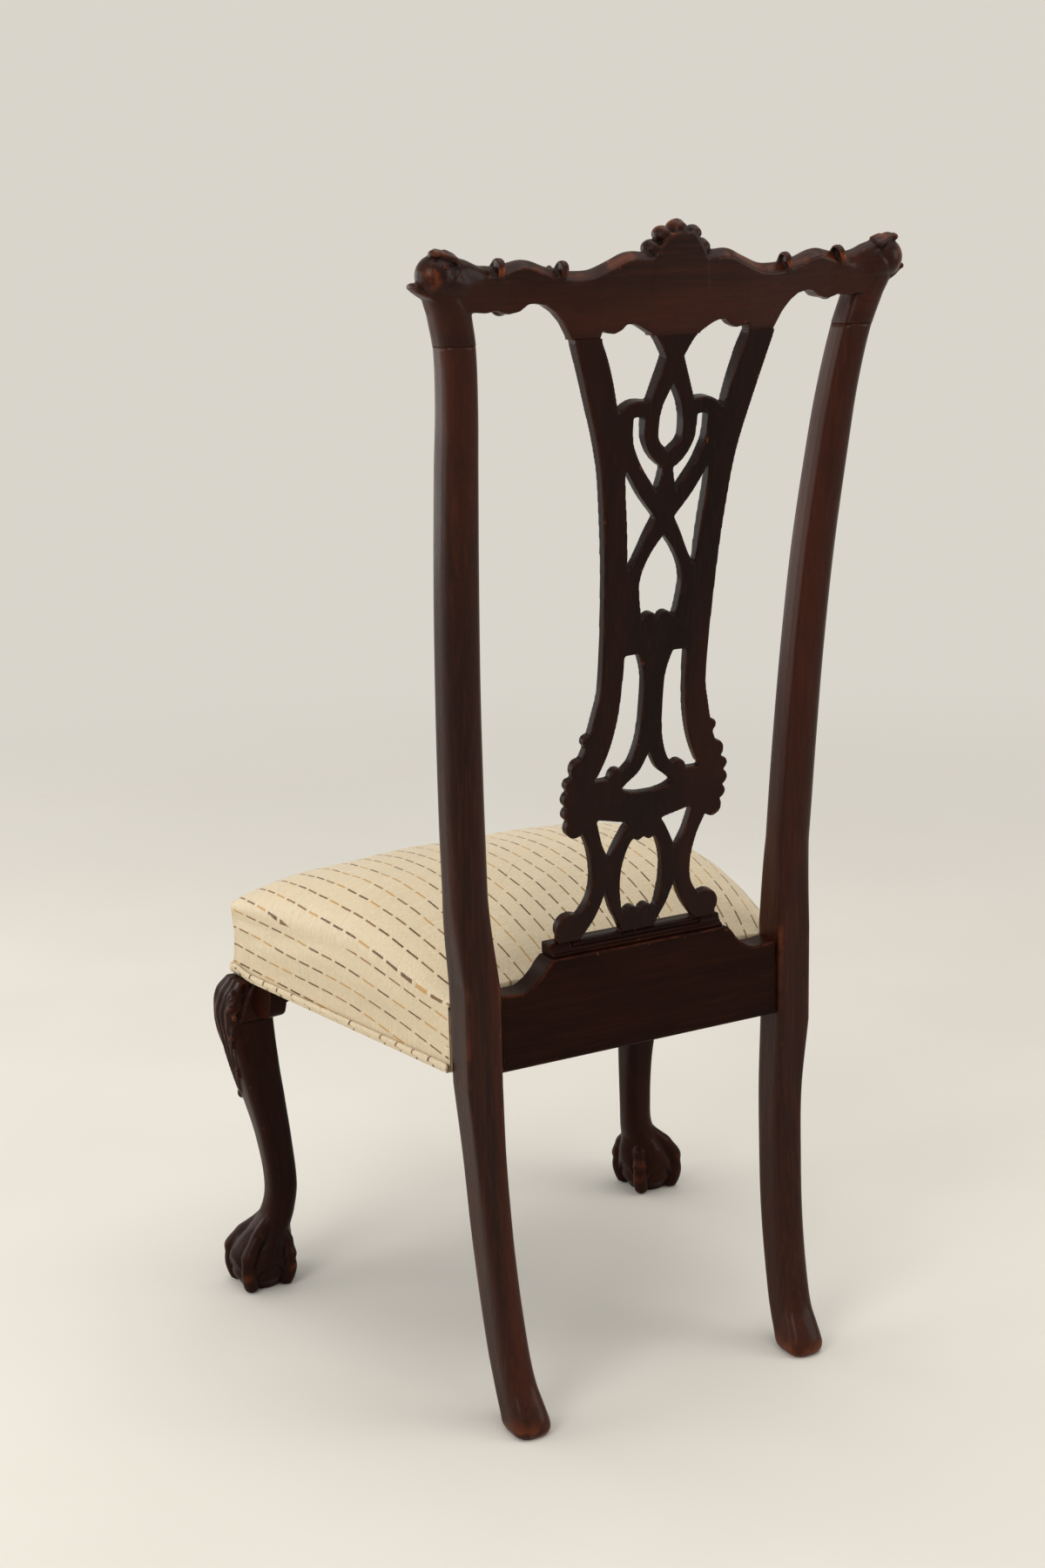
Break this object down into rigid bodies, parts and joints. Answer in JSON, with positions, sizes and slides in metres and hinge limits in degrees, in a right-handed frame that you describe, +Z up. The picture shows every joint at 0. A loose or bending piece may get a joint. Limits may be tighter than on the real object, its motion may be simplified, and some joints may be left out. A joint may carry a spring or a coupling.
{
  "type": "dining side chair",
  "caption": "Dining side chair with a pierced and carved back splat, an eared crest rail, cabriole front legs on claw and ball feet, and an upholstered striped seat.",
  "frame": {"origin": "middle of the chair's bounding box, on the floor", "axes": "+Z up; the chair faces -Y, so its back leans towards +Y; +X is the sitter's left; X = 0 is the plane of symmetry"},
  "size_m": [0.552, 0.5126, 1.1008],
  "materials": {
    "mahogany": "polished dark red-brown mahogany with worn orange-red high spots",
    "frame_wood": "bare secondary hardwood, hidden by the upholstery",
    "steel": "plain zinc-coated steel",
    "tack_steel": "blued steel",
    "webbing": "woven jute",
    "hessian": "loose plain-weave jute",
    "padding": "cotton felt over hair",
    "seat_fabric": "cream slub weave with rows of brown, grey and gold dashes",
    "cambric": "black spun-bonded dust cloth"
  },
  "bodies": {
    "root": {"rear_post_left": "mahogany", "rear_post_right": "mahogany", "crest_rail": "mahogany", "splat": "mahogany", "splat_shoe": "mahogany", "rear_rail": "mahogany", "side_rail_left": "frame_wood", "side_rail_right": "frame_wood", "front_rail": "frame_wood", "front_leg_left": "mahogany", "front_leg_right": "mahogany", "knee_block_side_left": "mahogany", "knee_block_side_right": "mahogany", "knee_block_front_left": "mahogany", "knee_block_front_right": "mahogany", "corner_block_front_left": "frame_wood", "corner_block_front_right": "frame_wood", "corner_block_rear_left": "frame_wood", "corner_block_rear_right": "frame_wood", "corner_block_screws": "steel", "webbing": "webbing", "hessian": "hessian", "seat_pad": "padding", "seat_cover": "seat_fabric", "welt": "seat_fabric", "dust_cover": "cambric", "dust_cover_tacks": "tack_steel"}
  },
  "joints": []
}
